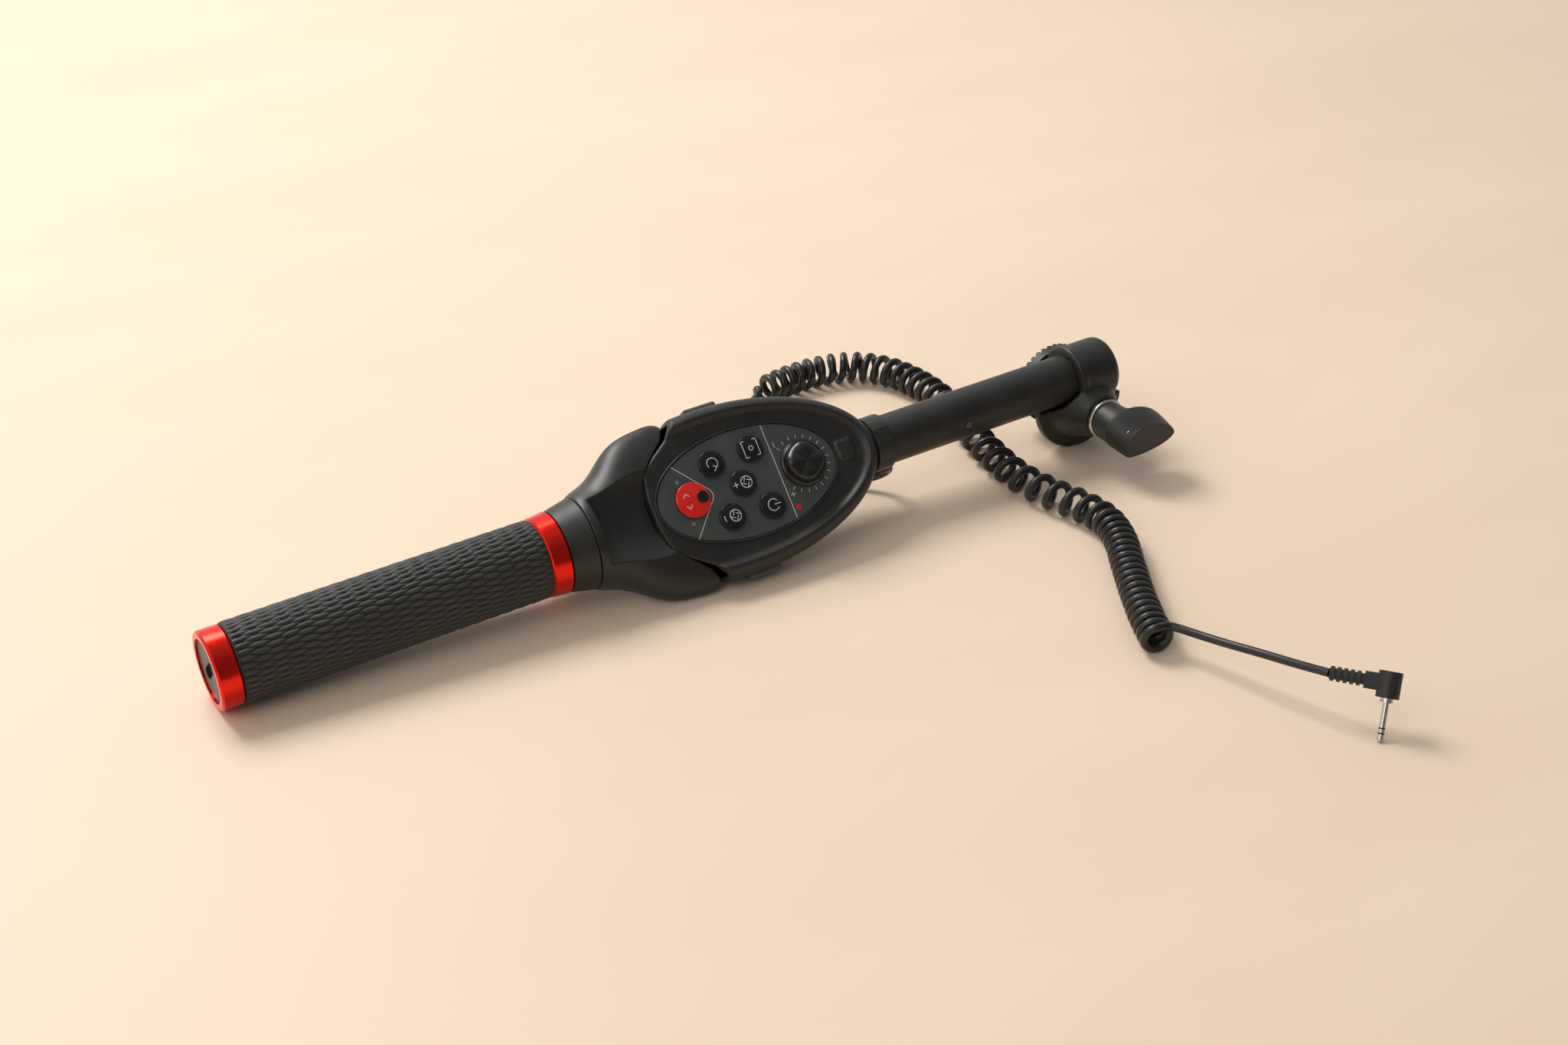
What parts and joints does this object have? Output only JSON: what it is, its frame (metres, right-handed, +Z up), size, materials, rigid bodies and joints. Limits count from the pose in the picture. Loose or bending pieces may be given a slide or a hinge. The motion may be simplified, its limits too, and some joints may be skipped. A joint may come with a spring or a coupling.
{
  "type": "camcorder pan bar controller",
  "caption": "Pan bar hand controller with a rubber grip, a zoom rocker, an egg-shaped button panel with a speed dial, a swivelling bar clamp and a coiled cord with a right-angle jack.",
  "frame": {"origin": "centre of the controller's box as it lies on a table, at the table's surface, without the cord", "axes": "+X from the grip to the clamp along the bar, +Y away from the side that the panel faces, +Z up"},
  "size_m": [0.4378, 0.3639, 0.0622],
  "materials": {
    "black_plastic": "fine moulded grain, satin",
    "soft_black": "soft-touch coat, matte",
    "grip_rubber": "moulded wave pattern, matte",
    "red_anodised": "anodised, turned, glossy",
    "plate_grey": "printed label plate, satin",
    "button_black": "polished dome",
    "button_red": "polished dome",
    "side_grey": "satin",
    "bar_black": "powder coated tube, matte",
    "bare_aluminium": "machined",
    "steel": "turned",
    "chrome": "polished",
    "board_green": "solder resist",
    "lamp": "diffused lens",
    "cord_black": "smooth jacket, semi-gloss",
    "plug_black": "moulded, satin"
  },
  "bodies": {
    "handle": {"rear_ring": "red_anodised", "front_ring": "red_anodised", "grip_core": "bare_aluminium", "end_cap": "soft_black", "grip_sleeve": "grip_rubber", "neck_hub": "black_plastic", "spindle": "steel", "spindle_nut": "steel", "spindle_screw": "steel", "rocker_spring": "steel", "rocker_sensor": "button_black", "head_upper_shell": "black_plastic", "head_lower_shell": "black_plastic", "head_screws": "steel", "label_plate": "plate_grey", "circuit_board": "board_green", "tact_switches": "button_black", "side_switches": "button_black", "status_lamps": "lamp", "dial_potentiometer": "steel", "pan_bar": "bar_black", "bar_set_screw": "steel", "neck_sleeve": "black_plastic", "cord_gland": "cord_black", "swivel_pivot": "bare_aluminium", "swivel_washer": "steel", "swivel_screw": "steel", "cord_lead": "cord_black", "cord_coil": "cord_black", "cord_tail": "cord_black", "plug_boot": "plug_black", "plug_body": "plug_black", "plug_collar": "chrome", "plug_contacts": "chrome", "plug_insulators": "plug_black"},
    "rocker": {"zoom_rocker": "soft_black"},
    "dial": {"speed_dial": "button_black", "dial_shaft": "bare_aluminium"},
    "clamp": {"clamp_body": "black_plastic", "clamp_end_cap": "black_plastic", "rosette": "bar_black", "clamp_stud": "steel"},
    "knob": {"knob_ring": "chrome", "knob_lever": "black_plastic", "knob_insert": "steel"},
    "return_button": {"return_button": "button_black"},
    "iris_close_button": {"iris_close_button": "button_black"},
    "iris_open_button": {"iris_open_button": "button_black"},
    "focus_button": {"focus_button": "button_black"},
    "power_button": {"power_button": "button_black"},
    "record_button": {"record_button": "button_red"},
    "far_side_button": {"far_side_button": "side_grey"},
    "near_side_button": {"near_side_button": "side_grey"}
  },
  "joints": [
    {"name": "rocker_turn", "type": "hinge", "parent": "handle", "child": "rocker", "pos_m": [-0.04338, 0.0079, 0.02458], "axis": [0.9989, 0, 0.0463], "range_deg": [-12, 12], "stiffness_Nm_per_rad": 2},
    {"name": "return_press", "type": "slide", "parent": "handle", "child": "return_button", "axis": [0.0317, 0.7278, -0.6851], "range_m": [0, 0.0007], "stiffness_N_per_m": 1500},
    {"name": "iris_close_press", "type": "slide", "parent": "handle", "child": "iris_close_button", "axis": [0.0317, 0.7278, -0.6851], "range_m": [0, 0.0007], "stiffness_N_per_m": 1500},
    {"name": "iris_open_press", "type": "slide", "parent": "handle", "child": "iris_open_button", "axis": [0.0317, 0.7278, -0.6851], "range_m": [0, 0.0007], "stiffness_N_per_m": 1500},
    {"name": "focus_press", "type": "slide", "parent": "handle", "child": "focus_button", "axis": [0.0317, 0.7278, -0.6851], "range_m": [0, 0.0007], "stiffness_N_per_m": 1500},
    {"name": "power_press", "type": "slide", "parent": "handle", "child": "power_button", "axis": [0.0317, 0.7278, -0.6851], "range_m": [0, 0.0007], "stiffness_N_per_m": 1500},
    {"name": "record_press", "type": "slide", "parent": "handle", "child": "record_button", "axis": [0.0317, 0.7278, -0.6851], "range_m": [0, 0.0007], "stiffness_N_per_m": 1500},
    {"name": "far_side_press", "type": "slide", "parent": "handle", "child": "far_side_button", "axis": [0.0337, -0.6858, -0.727], "range_m": [0, 0.0007], "stiffness_N_per_m": 1500},
    {"name": "near_side_press", "type": "slide", "parent": "handle", "child": "near_side_button", "axis": [-0.0337, 0.6858, 0.727], "range_m": [0, 0.0007], "stiffness_N_per_m": 1500},
    {"name": "dial_turn", "type": "hinge", "parent": "handle", "child": "dial", "pos_m": [0.04288, -0.00229, 0.03819], "axis": [-0.0317, -0.7278, 0.6851], "range_deg": [-140, 140]},
    {"name": "clamp_swivel", "type": "hinge", "parent": "handle", "child": "clamp", "pos_m": [0.19537, 0.0079, 0.03564], "axis": [0.9989, 0, 0.0463], "continuous": true},
    {"name": "knob_turn", "type": "hinge", "parent": "clamp", "child": "knob", "pos_m": [0.19585, -0.0221, 0.023], "axis": [0, -1, 0], "continuous": true}
  ]
}
